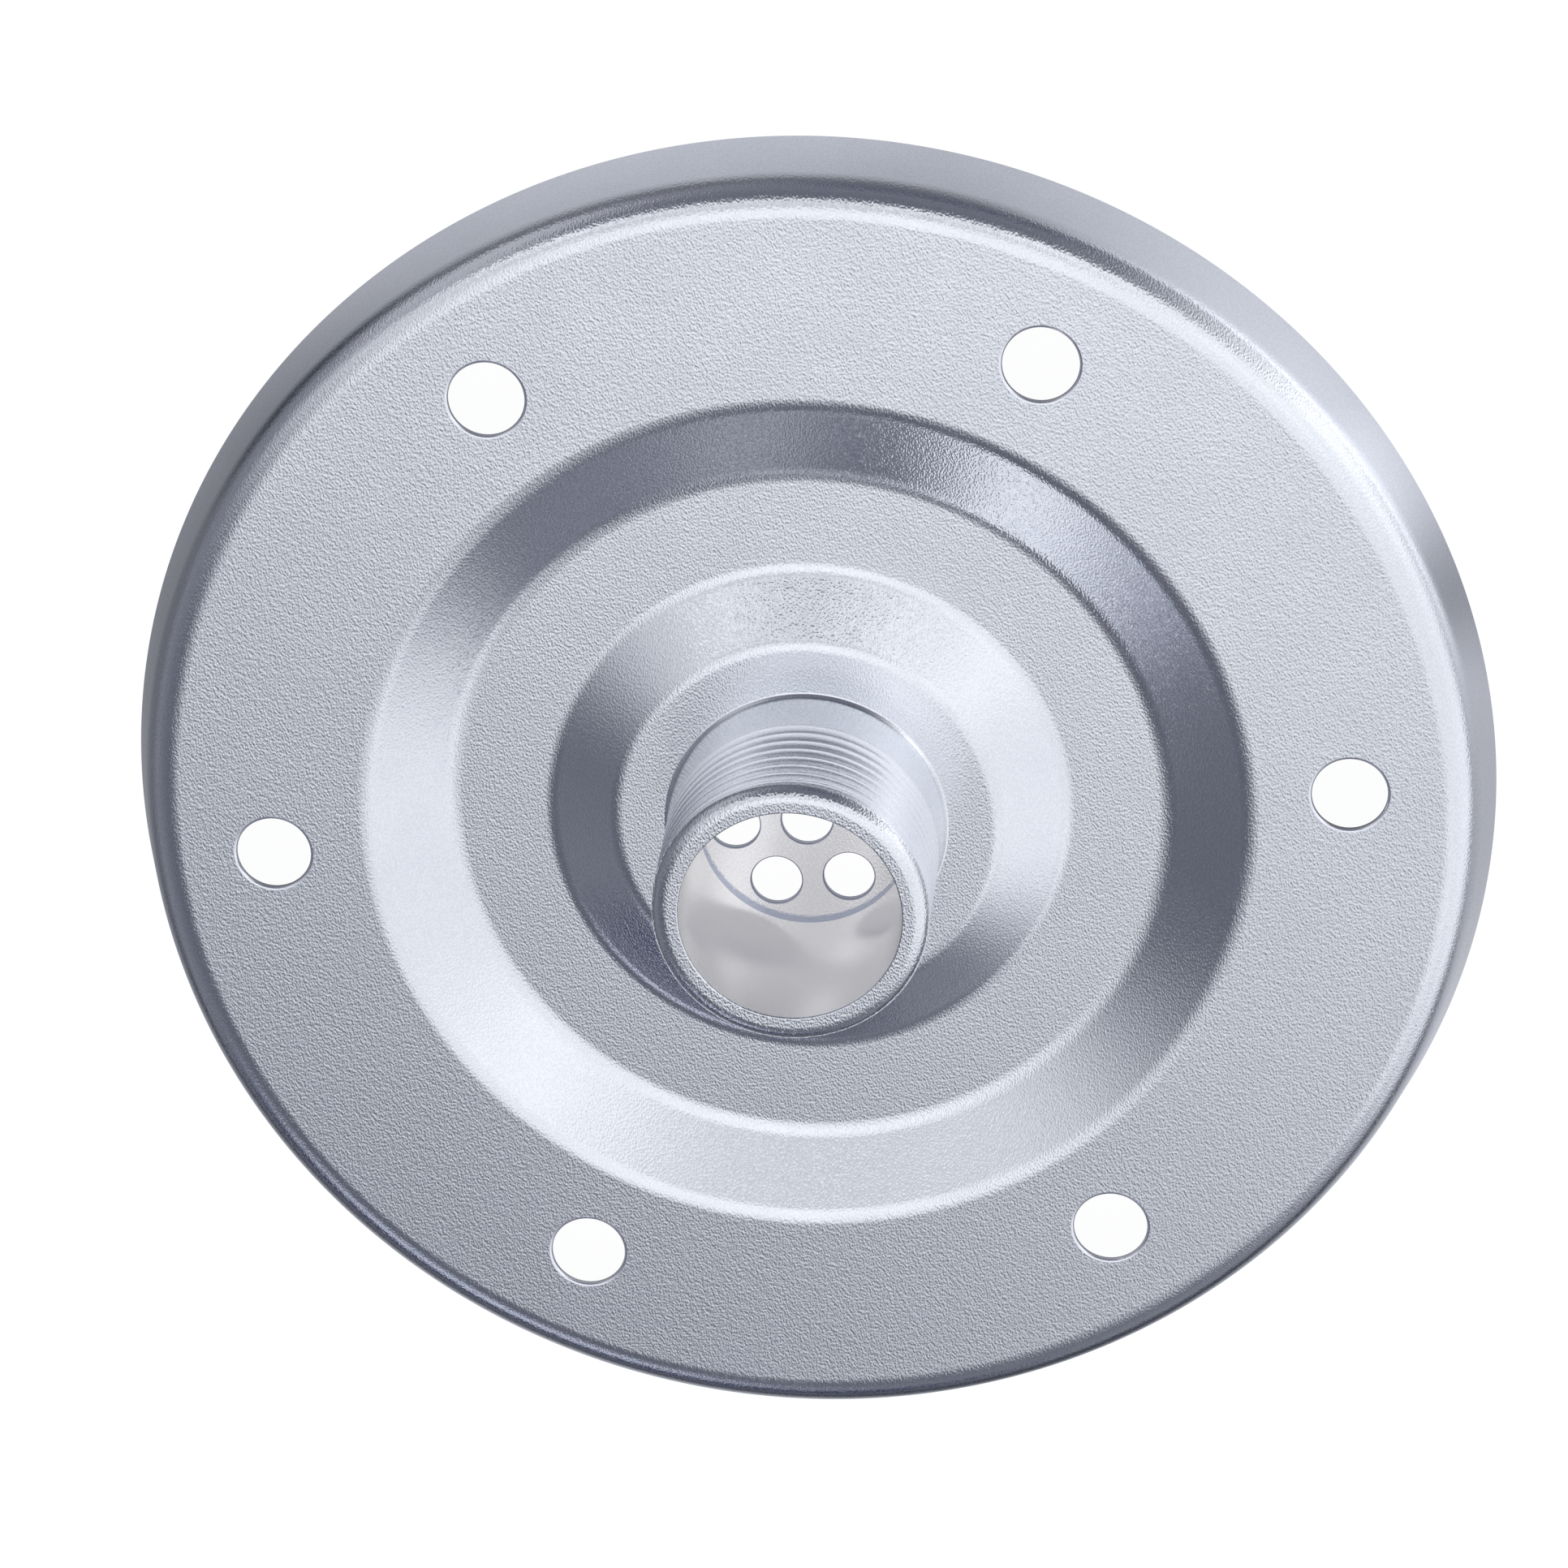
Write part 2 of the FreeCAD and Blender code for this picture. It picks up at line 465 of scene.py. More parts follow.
@dataclass(frozen=True)
class StudioFloor:
    """A white photographer's table: it shows as white, and keeps a faint shadow of what stands on it.

    In the metal it shows painted light instead of the lamps' own: painted pools of light and of shade
    round the object, and painted shade under it.
    """

    name: str = "white_studio_table"
    colour: str = "#585B62"
    # what the camera and clear glass see; the lamps' light on the colour makes up the rest of white
    glow: float = 0.96
    # what the metal sees: painted light far out, the painted pools, and their share left in the painted
    # shade under the object
    far_glow: float = 0.108
    pool_colour: str = "#F8F8FF"
    shade_inner_mm: float = 76.0
    shade_outer_mm: float = 86.0
    shade_share: float = 0.28
    pools: tuple[LightPool, ...] = (
        LightPool(-2.7, 39.6, 91.2, 0.952),
        LightPool(130.3, 75.5, 111.9, 1.42),
        LightPool(-13.7, -32.4, 101.0, 1.60),
        LightPool(59.3, -41.2, 76.1, 0.60),
        LightPool(86.6, 37.4, 19.4, 0.445),
        LightPool(148.7, -48.2, 81.2, 0.283),
        LightPool(450.0, 120.0, 400.0, 1.20),
        # painted shade: these pools take light away, so their strength is below zero
        LightPool(87.2, 29.6, 22.5, -0.449),
        LightPool(-76.0, -59.1, 78.4, -0.22),
        LightPool(-80.9, 75.3, 37.5, -0.189),
        LightPool(20.8, -112.5, 141.0, -0.35),
    )

    def pool_light(self, tree: bpy.types.NodeTree, place: bpy.types.NodeSocket) -> bpy.types.NodeSocket:
        """Add up the painted pools at a place on the table, and paint shade on the ground under the
        object.

        Each pool fades smoothly from its strength at its middle to nothing at its rim. The sum of them
        and of the far light is cut to its share in the shade, and is never less than nothing.

        Args:
            tree: the material's node tree.
            place: the place on the table, in the table's own coordinates.

        Returns:
            The strength of the light there.
        """
        total = None
        for pool in self.pools:
            away = add_node(
                tree, "ShaderNodeVectorMath", operation="DISTANCE",
                values={1: (pool.x_mm * MM, pool.y_mm * MM, 0.0)}, links={0: place},
            ).outputs["Value"]
            light = add_node(
                tree, "ShaderNodeMapRange", interpolation_type="SMOOTHSTEP",
                values={"From Min": 0.0, "From Max": pool.radius_mm * MM,
                        "To Min": pool.strength, "To Max": 0.0},
                links={"Value": away},
            ).outputs["Result"]
            if total is not None:
                both = add_node(tree, "ShaderNodeMath", operation="ADD", links={0: total, 1: light})
                light = both.outputs[0]
            total = light
        total = add_node(
            tree, "ShaderNodeMath", operation="ADD", values={1: self.far_glow}, links={0: total}
        ).outputs[0]
        from_middle = add_node(tree, "ShaderNodeVectorMath", operation="LENGTH", links={0: place})
        clear = add_node(
            tree, "ShaderNodeMapRange", interpolation_type="SMOOTHSTEP",
            values={"From Min": self.shade_inner_mm * MM, "From Max": self.shade_outer_mm * MM,
                    "To Min": self.shade_share, "To Max": 1.0},
            links={"Value": from_middle.outputs["Value"]},
        ).outputs["Result"]
        shaded = add_node(tree, "ShaderNodeMath", operation="MULTIPLY", links={0: total, 1: clear})
        held = add_node(
            tree, "ShaderNodeMath", operation="MAXIMUM", values={1: 0.0}, links={0: shaded.outputs[0]}
        )
        return held.outputs[0]

    def material(self) -> bpy.types.Material:
        """Build the material: plain grey, plus white for the camera and the painted light and shade of
        the pools for the metal.

        Returns:
            The new material.
        """
        material = bpy.data.materials.new(self.name)
        material.use_nodes = True
        tree = material.node_tree
        tree.nodes.clear()
        place = add_node(tree, "ShaderNodeTexCoord").outputs["Object"]
        reflected = add_node(tree, "ShaderNodeLightPath").outputs["Is Glossy Ray"]
        in_metal = add_node(
            tree, "ShaderNodeMath", operation="MULTIPLY",
            links={0: reflected, 1: self.pool_light(tree, place)},
        )
        glow = add_node(
            tree, "ShaderNodeMath", operation="MULTIPLY",
            values={1: self.glow}, links={0: plainly_seen(tree)},
        )
        white = add_node(
            tree, "ShaderNodeEmission", values={"Color": WHITE}, links={"Strength": glow.outputs[0]}
        )
        pools = add_node(
            tree, "ShaderNodeEmission",
            values={"Color": linear(self.pool_colour)}, links={"Strength": in_metal.outputs[0]},
        )
        plain = add_node(tree, "ShaderNodeBsdfDiffuse", values={"Color": linear(self.colour)})
        both = add_node(tree, "ShaderNodeAddShader", links={0: plain.outputs[0], 1: white.outputs[0]})
        both = add_node(tree, "ShaderNodeAddShader", links={0: both.outputs[0], 1: pools.outputs[0]})
        add_node(tree, "ShaderNodeOutputMaterial", links={"Surface": both.outputs[0]})
        return material


# The pieces


@dataclass(frozen=True)
class HoleRing:
    """A level band of sheet with round holes evenly spaced on a circle, and those holes' walls."""

    upper_level: float
    lower_level: float
    circle_radius: float
    hole_radius: float
    holes: int
    rounding: float
    margin: float
    columns_per_hole: int = 60
    side_rows: int = 16
    # where the rows lie between a hole's edge and the outline of its share of the band
    row_shares: tuple[float, ...] = (0.0, 0.15, 0.4, 0.7, 1.0)

    def start_angles(self) -> np.ndarray:
        """The columns' angles all round the sheet, shared with the rings next to this one."""
        columns = self.columns_per_hole * self.holes
        return -math.pi / self.holes + np.arange(columns) * 2 * math.pi / columns

    def margin_radius(self) -> float:
        """Radius of the narrow flat margin round a hole, where the band's rows start."""
        return self.hole_radius + self.rounding + self.margin

    def wall_section(self) -> Section:
        """Draw a hole's rounded edges and wall, with the flat margins above and below.

        Returns:
            The section, its radii measured from the hole's own centre.
        """
        start = self.margin_radius()
        return bent_section(
            [
                (start, self.upper_level),
                (self.hole_radius, self.upper_level),
                (self.hole_radius, self.lower_level),
                (start, self.lower_level),
            ],
            [self.rounding, self.rounding],
            step_degrees=12.0,
        ).turned_round()

    def walls(self, angles: np.ndarray) -> list[Surface]:
        """Make the wall of a hole about the upright axis.

        Args:
            angles: the columns' angles round the hole.

        Returns:
            The two flat margins and, as a worked area, the edges and wall between them.
        """
        section = self.wall_section()
        last = len(section.points) - 1
        flats = [turned_surface(section.part(i, i + 1), angles) for i in (0, last - 1)]
        return flats + [turned_surface(section.part(1, last - 1), angles).within(Area.WORKED)]

    def outline(self, inner: float, outer: float) -> np.ndarray:
        """Draw the outline of one hole's share of the band, counter-clockwise in plan.

        It runs up one straight side, along the outer circle, down the other side and back along the
        inner circle; the points on the circles are the columns of the rings next to the band.

        Args:
            inner: radius of the band's inner circle.
            outer: radius of its outer circle.

        Returns:
            The outline's points, for the hole that lies on the first axis.
        """
        half = math.pi / self.holes
        angles = np.linspace(-half, half, self.columns_per_hole + 1)
        along = np.linspace(inner, outer, self.side_rows + 1)
        low_side = np.stack([along * math.cos(half), -along * math.sin(half)], 1)
        high_side = np.stack([along * math.cos(half), along * math.sin(half)], 1)
        outer_arc = outer * np.stack([np.cos(angles), np.sin(angles)], 1)
        inner_arc = inner * np.stack([np.cos(angles), np.sin(angles)], 1)
        lines = (low_side, outer_arc, high_side[::-1], inner_arc[::-1])
        return np.concatenate([line[:-1] for line in lines])

    def sector(self, inner: float, outer: float) -> list[Surface]:
        """Make one hole with its share of the band: upper face, lower face and the hole's wall.

        A point is the hole's edge plus a share of the way to the outline, both taken in the same
        direction from the hole's centre, so the columns run from the hole to the outline.

        Args:
            inner: radius of the band's inner circle.
            outer: radius of its outer circle.

        Returns:
            The surfaces, for the hole that lies on the first axis.
        """
        loop = self.outline(inner, outer)
        centre = np.array([self.circle_radius, 0.0])
        angles = np.arctan2(loop[:, 1], loop[:, 0] - centre[0])
        circle = centre + self.margin_radius() * np.stack([np.cos(angles), np.sin(angles)], 1)
        plan = circle + (loop - circle) * np.array(self.row_shares)[:, None, None]
        surfaces = []
        for level, up in ((self.upper_level, 1.0), (self.lower_level, -1.0)):
            points = np.concatenate([plan, np.full(plan.shape[:2] + (1,), level)], -1)
            normals = np.broadcast_to(np.array([0.0, 0.0, up]), points.shape)
            surfaces.append(grid_surface(points, normals))
        shift = np.array([centre[0], 0.0, 0.0])
        walls = [replace(wall, points=wall.points + shift) for wall in self.walls(angles)]
        return surfaces + walls

    def surfaces(self, inner: float, outer: float) -> list[Surface]:
        """The whole band between two circles."""
        one = self.sector(inner, outer)
        return [surface.turned(360 / self.holes * i) for i in range(self.holes) for surface in one]


@dataclass(frozen=True)
class FlangePlate:
    """The pressed sheet: boss, recess, raised land with bolt holes, rolled rim and flared skirt."""

    thickness: float = 1.0
    land_level: float = 11.6
    boss_level: float = 11.4
    recess_level: float = 6.95
    bore_radius: float = 13.45
    boss_radius: float = 23.75
    recess_inner_radius: float = 32.05
    recess_outer_radius: float = 44.6
    land_inner_radius: float = 54.7
    rim_radius: float = 82.15
    inner_bend: float = 3.9
    outer_bend: float = 5.8
    rim_bend: float = 5.0
    # degrees that the skirt leans outwards, the level where its trimmed edge starts, and that edge
    skirt_flare: float = 14.6
    trim_level: float = 1.0
    edge_rounding: float = 0.2
    bolt_circle_radius: float = 67.0
    bolt_hole_radius: float = 4.65
    bolt_holes: int = 6
    hole_rounding: float = 0.4
    hole_margin: float = 0.6

    def flare_slope(self) -> float:
        """How far the skirt moves outwards for each step down."""
        return math.tan(math.radians(self.skirt_flare))

    def upper_section(self) -> Section:
        """Draw the upper face, pressed step by step out of one level sheet.

        Returns:
            The section from the centre hole to just above the skirt's edge.
        """
        skirt_reach = (self.land_level - self.trim_level) * self.flare_slope()
        return bent_section(
            [
                (self.bore_radius, self.boss_level),
                (self.boss_radius, self.boss_level),
                (self.recess_inner_radius, self.recess_level),
                (self.recess_outer_radius, self.recess_level),
                (self.land_inner_radius, self.land_level),
                (self.rim_radius, self.land_level),
                (self.rim_radius + skirt_reach, self.trim_level),
            ],
            [self.inner_bend, self.inner_bend, self.outer_bend, self.outer_bend, self.rim_bend],
        )

    def skirt_edge(self, upper: Section) -> Section:
        """Draw the trimmed, level edge of the skirt.

        Args:
            upper: the upper face's section.

        Returns:
            The section from the end of the upper face to the end of the lower one.
        """
        flare = self.flare_slope()
        outer = upper.points[-1]
        inner = outer - self.thickness * upper.normals[-1]
        return bent_section(
            [
                tuple(outer),
                (outer[0] + outer[1] * flare, 0.0),
                (inner[0] + inner[1] * flare, 0.0),
                tuple(inner),
            ],
            [self.edge_rounding, self.edge_rounding],
            step_degrees=15.0,
        )

    def hole_ring(self) -> HoleRing:
        """Set out the land's bolt holes.

        Returns:
            The holes with the band that they lie in.
        """
        return HoleRing(
            self.land_level, self.land_level - self.thickness, self.bolt_circle_radius,
            self.bolt_hole_radius, self.bolt_holes, self.hole_rounding, self.hole_margin,
        )

    def surfaces(self) -> list[Surface]:
        """Make the closed sheet.

        The lower face is the upper one moved square to itself by the sheet's thickness. The land is the
        section's longest straight run; the ring of holes takes its place.

        Returns:
            The sheet's surfaces.
        """
        holes = self.hole_ring()
        angles = holes.start_angles()
        upper = self.upper_section()
        lower = upper.shifted(-self.thickness).turned_round()
        runs = np.linalg.norm(np.diff(upper.points, axis=0), axis=1)
        land = int(np.argmax(runs))
        last = len(upper.points) - 1
        under = self.boss_level - self.thickness
        hole_edge = bent_section([(self.bore_radius, under), (self.bore_radius, self.boss_level)], [])
        rings = [
            upper.part(0, land),
            upper.part(land + 1, last),
            self.skirt_edge(upper),
            lower.part(0, last - land - 1),
            lower.part(last - land, last),
        ]
        surfaces = [turned_surface(ring, angles) for ring in rings]
        surfaces.append(turned_surface(hole_edge, angles).within(Area.BORE))
        return surfaces + holes.surfaces(upper.points[land, 0], upper.points[land + 1, 0])

    def finishes(self) -> tuple[ZincCoat, ...]:
        """Choose the finishes of the sheet, of the bolt holes' edges and of the centre hole's edge.

        Returns:
            The finishes in the areas' order.
        """
        return (
            # full orange-peel skin, which breaks up every reflection
            ZincCoat("hot_dip_galvanised_sheet"),
            # punched over a die and then dipped: smooth and glossy, with a colour lighter than the
            # sheet's that is a painted highlight, so an edge is a crisp light line
            ZincCoat("punched_edge_painted_highlight", colour="#F4F6FB", dull_colour="#EBEEF5",
                     roughness_low=0.20, roughness_high=0.26, ripple_height_mm=0.008),
            # the sheared edge inside the pipe, where little light falls: its colour is darkened to a
            # dull, bluish grey as painted shade
            ZincCoat("centre_hole_painted_shade", colour="#C2C8D8", dull_colour="#B8BFD0",
                     roughness_low=0.30, roughness_high=0.36, ripple_height_mm=0.005),
        )

    def build(self) -> bpy.types.Object:
        """Make and dress the plate and let it stand for its CAD node.

        Returns:
            The plate.
        """
        piece = make_piece("pressed_flange_plate", self.surfaces())
        dress(piece, self.finishes())
        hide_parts(Node.PLATE.value)
        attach(piece, "root")
        return piece


@dataclass(frozen=True)
class ThreadedNipple:
    """The pipe stub on the boss: weld root, smooth collar, rolled thread, rounded mouth and bore."""

    base_level: float = 11.4
    mouth_level: float = 38.75
    bore_radius: float = 13.45
    foot_radius: float = 17.15
    collar_radius: float = 16.81
    collar_top: float = 19.75
    crest_radius: float = 16.72
    # the weld's small fillet: its height and width, its low toe, and the bends at its two ends
    weld_height: float = 0.35
    weld_leg: float = 0.27
    toe_width: float = 0.20
    toe_height: float = 0.05
    weld_bend: float = 0.10
    toe_bend: float = 0.25
    # the bevelled crown between the mouth's flat end face and the thread
    crown_inner_radius: float = 16.06
    crown_drop: float = 1.30
    crown_bend: float = 2.2
    crown_edge: float = 0.12
    crown_foot: float = 0.04
    mouth_rounding: float = 0.2
    # 11 threads to the inch; the zinc fills the grooves, so the ridges that are left are low
    pitch: float = 2.309
    ridge_low: float = 0.07
    ridge_high: float = 0.11
    ridge_waves: tuple[tuple[int, float], ...] = ((1, 1.0), (2, 0.45), (3, 0.2))
    # a level and a direction in degrees where the middle of a groove passes
    groove_level: float = 29.05
    groove_azimuth: float = 85.0
    # how far above the collar the ridges reach their height, and how far under the crown grooves fill
    run_out: float = 0.7
    run_in: float = 0.6
    columns: int = 240
    rows_per_pitch: int = 20

    def thread_top(self) -> float:
        """Height where the mouth's crown leaves the thread."""
        return self.mouth_level - self.crown_drop - self.crown_foot

    def toe_radius(self) -> float:
        """Radius of the weld's outermost edge on the boss."""
        return self.foot_radius + self.weld_leg + self.toe_width

    def root_section(self) -> Section:
        """Draw the outer face's lower end.

        Returns:
            The section from the collar's top down its slight taper and the weld to the boss.
        """
        return bent_section(
            [
                (self.collar_radius, self.collar_top),
                (self.foot_radius, self.base_level + self.weld_height),
                (self.foot_radius + self.weld_leg, self.base_level + self.toe_height),
                (self.toe_radius(), self.base_level),
            ],
            [self.weld_bend, self.toe_bend],
            step_degrees=8.0,
        )

    def mouth_section(self) -> Section:
        """Draw the mouth.

        Returns:
            The section over the top of the bore, the flat end face and the crown, down to the thread.
        """
        return bent_section(
            [
                (self.bore_radius, self.mouth_level - 2 * self.mouth_rounding),
                (self.bore_radius, self.mouth_level),
                (self.crown_inner_radius, self.mouth_level),
                (self.crest_radius, self.mouth_level - self.crown_drop),
                (self.crest_radius, self.thread_top()),
            ],
            [self.mouth_rounding, self.crown_bend, self.crown_edge],
            step_degrees=4.0,
        )

    def thread_surface(self, angles: np.ndarray) -> Surface:
        """Make the threaded stretch as one right-hand helix on a fine grid.

        With h the height, a the angle and p the pitch, the turn is t = 2 pi (h - h0) / p - (a - a0).
        A ridge is the sum of w (1 - cos n t) / n over the waves n with weights w, divided by its
        greatest value: a full, round ridge with narrow grooves between. The ridges stand on a slightly
        tapered pipe, grow towards the mouth and run out at the collar; just under the mouth's crown the
        grooves fill up to the crest. The normal is radial minus the radius's slopes along the height
        and round the pipe.

        Args:
            angles: the columns' angles round the pipe, in radians.

        Returns:
            The threaded surface between the collar and the crown.
        """
        top = self.thread_top()
        rows = math.ceil((top - self.collar_top) / self.pitch * self.rows_per_pitch)
        h = np.linspace(self.collar_top, top, rows + 1)[:, None]
        a = angles[None, :]
        origin = math.radians(self.groove_azimuth)
        turn = 2 * math.pi * ((h - self.groove_level) / self.pitch - (a - origin) / (2 * math.pi))
        waves = self.ridge_waves
        # the even waves are nothing half way round, where the ridge is highest
        full = sum(2 * weight / n for n, weight in waves if n % 2)
        shape = sum(weight / n * (1 - np.cos(n * turn)) for n, weight in waves) / full
        shape_slope = sum(weight * np.sin(n * turn) for n, weight in waves) / full
        share = (h - self.collar_top) / (top - self.collar_top)
        grown = smooth_step((h - self.collar_top) / self.run_out)
        open_share = smooth_step((top - h) / self.run_in)
        shape, shape_slope = 1 - (1 - shape) * open_share, shape_slope * open_share
        height = (self.ridge_low + (self.ridge_high - self.ridge_low) * share) * grown
        top_radius = self.crest_radius - self.ridge_high
        radius = self.collar_radius + (top_radius - self.collar_radius) * share + height * shape
        along = np.gradient(radius, h[:, 0], axis=0)
        around = -height * shape_slope
        c, s = np.cos(a), np.sin(a)
        points = np.stack([radius * c, radius * s, np.broadcast_to(h, radius.shape)], -1)
        normals = np.stack([c + around / radius * s, s - around / radius * c, -along], -1)
        normals /= np.linalg.norm(normals, axis=-1, keepdims=True)
        return grid_surface(points, normals)

    def surfaces(self) -> list[Surface]:
        """Make the closed stub.

        The last little bit of the crown, below the middle of its foot, counts as thread.

        Returns:
            The stub's surfaces.
        """
        angles = np.arange(self.columns) * 2 * math.pi / self.columns
        low, high = self.base_level, self.mouth_level - 2 * self.mouth_rounding
        base = bent_section([(self.toe_radius(), low), (self.bore_radius, low)], [])
        bore = bent_section([(self.bore_radius, low), (self.bore_radius, high)], [])
        mouth = self.mouth_section()
        last = len(mouth.points) - 1
        foot_level = self.mouth_level - self.crown_drop + 0.5 * self.crown_foot
        foot = int(np.argmax(mouth.points[:, 1] < foot_level))
        return [
            turned_surface(self.root_section(), angles),
            self.thread_surface(angles).within(Area.WORKED),
            turned_surface(mouth.part(0, foot), angles),
            turned_surface(mouth.part(foot, last), angles).within(Area.WORKED),
            turned_surface(bore, angles).within(Area.BORE),
            turned_surface(base, angles),
        ]

    def finishes(self) -> tuple[ZincCoat, ...]:
        """Choose the finishes of the pipe's outside and mouth, of the thread and of the bore.

        Returns:
            The finishes in the areas' order.
        """
        return (
            # the mouth has a coarse, sugary grain; the collar below the thread is wiped smooth
            ZincCoat("hot_dip_galvanised_pipe", ripple_height_mm=0.042,
                     smooth_below_mm=18.6, full_above_mm=19.6),
            # zinc that has run into the grooves; its colour is lighter than the rest of the part's,
            # painted light that brightens the thread
            ZincCoat("zinc_filled_thread_painted_light", colour="#FAFBFF", dull_colour="#F6F8FD",
                     roughness_low=0.17, roughness_high=0.21, ripple_height_mm=0.018),
            # drawn pipe wall without grain: soft, even patches of a warmer white
            ZincCoat("bright_pipe_bore", colour="#F9F8F7", dull_colour="#F3F2F1", roughness_low=0.21,
                     roughness_high=0.25, ripple_height_mm=0.001, ripple_tone=0.02),
        )

    def build(self) -> bpy.types.Object:
        """Make and dress the stub and let it stand for its CAD node.

        Returns:
            The stub.
        """
        piece = make_piece("threaded_pipe_nipple", self.surfaces())
        dress(piece, self.finishes())
        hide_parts(Node.NIPPLE.value)
        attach(piece, "root")
        return piece


@dataclass(frozen=True)
class Strainer:
    """The pierced disc under the boss: one hole at its centre and six round it, edges rolled over."""

    radius: float = 18.45
    upper_level: float = 10.4
    thickness: float = 1.0
    hole_radius: float = 3.15
    circle_radius: float = 9.05
    holes: int = 6
    rounding: float = 0.18
    margin: float = 0.3
    # the band that holds the ring of holes, and the roundings of the disc's own edge
    inner_band: float = 4.6
    outer_band: float = 13.6
    upper_rounding: float = 0.02
    lower_rounding: float = 0.15

    def surfaces(self) -> list[Surface]:
        """Make the closed disc.

        The hole at the centre has the walls of the ring's own holes.

        Returns:
            The disc's surfaces.
        """
        low = self.upper_level - self.thickness
        ring = HoleRing(
            self.upper_level, low, self.circle_radius, self.hole_radius, self.holes, self.rounding,
            self.margin, columns_per_hole=40, side_rows=10, row_shares=(0.0, 0.5, 1.0),
        )
        angles = ring.start_angles()
        edge, band, high = ring.margin_radius(), self.inner_band, self.upper_level
        rim = bent_section(
            [
                (self.outer_band, high),
                (self.radius, high),
                (self.radius, low),
                (self.outer_band, low),
            ],
            [self.upper_rounding, self.lower_rounding],
            step_degrees=20.0,
        )
        flats = (
            bent_section([(edge, high), (band, high)], []),
            bent_section([(band, low), (edge, low)], []),
        )
        surfaces = [turned_surface(section, angles) for section in (rim, *flats)]
        return surfaces + ring.walls(angles) + ring.surfaces(band, self.outer_band)

    def finishes(self) -> tuple[ZincCoat, ...]:
        """Choose the finishes of the disc and of its holes' edges.

        Returns:
            The finishes in the areas' order.
        """
        return (
            # rolled sheet with a satin face: an even, neutral grey between the dark holes
            ZincCoat("plain_rolled_steel_disc", colour="#F0F0F0", dull_colour="#E9E9E9",
                     ripple_height_mm=0.02),
            # torn by the punch and left bare: a dull, thin ring that outlines each hole
            ZincCoat("punched_strainer_edge", colour="#C9CDD8", dull_colour="#BDC2CF",
                     roughness_low=0.30, roughness_high=0.40, ripple_height_mm=0.01),
        )

    def build(self) -> bpy.types.Object:
        """Make and dress the disc and let it stand for its CAD node.

        Returns:
            The disc.
        """
        piece = make_piece("pierced_strainer_disc", self.surfaces())
        dress(piece, self.finishes())
        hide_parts(Node.STRAINER.value)
        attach(piece, "root")
        return piece


# The studio


@dataclass(frozen=True)
class SoftBox:
    """A rectangular soft light with feathered sides, painted on the studio's walls.

    polar is the angle from straight up, azimuth the compass angle from +X, roll its turn in its own
    plane, all in degrees. Half width and half height are measured on a plane one unit away.
    """

    name: str
    polar: float
    azimuth: float
    roll: float
    half_width: float
    half_height: float
    feather: float
    colour: str
    strength: float

    def axes(self) -> tuple[np.ndarray, np.ndarray, np.ndarray]:
        """Work out how the box stands.

        The width starts along the direction of a growing polar angle and is turned by the roll.

        Returns:
            The directions to the box's centre, along its width and along its height.
        """
        p, a, r = (math.radians(v) for v in (self.polar, self.azimuth, self.roll))
        centre = np.array([math.sin(p) * math.cos(a), math.sin(p) * math.sin(a), math.cos(p)])
        first = np.array([math.cos(p) * math.cos(a), math.cos(p) * math.sin(a), -math.sin(p)])
        second = np.cross(centre, first)
        wide = first * math.cos(r) + second * math.sin(r)
        return centre, wide, np.cross(centre, wide)


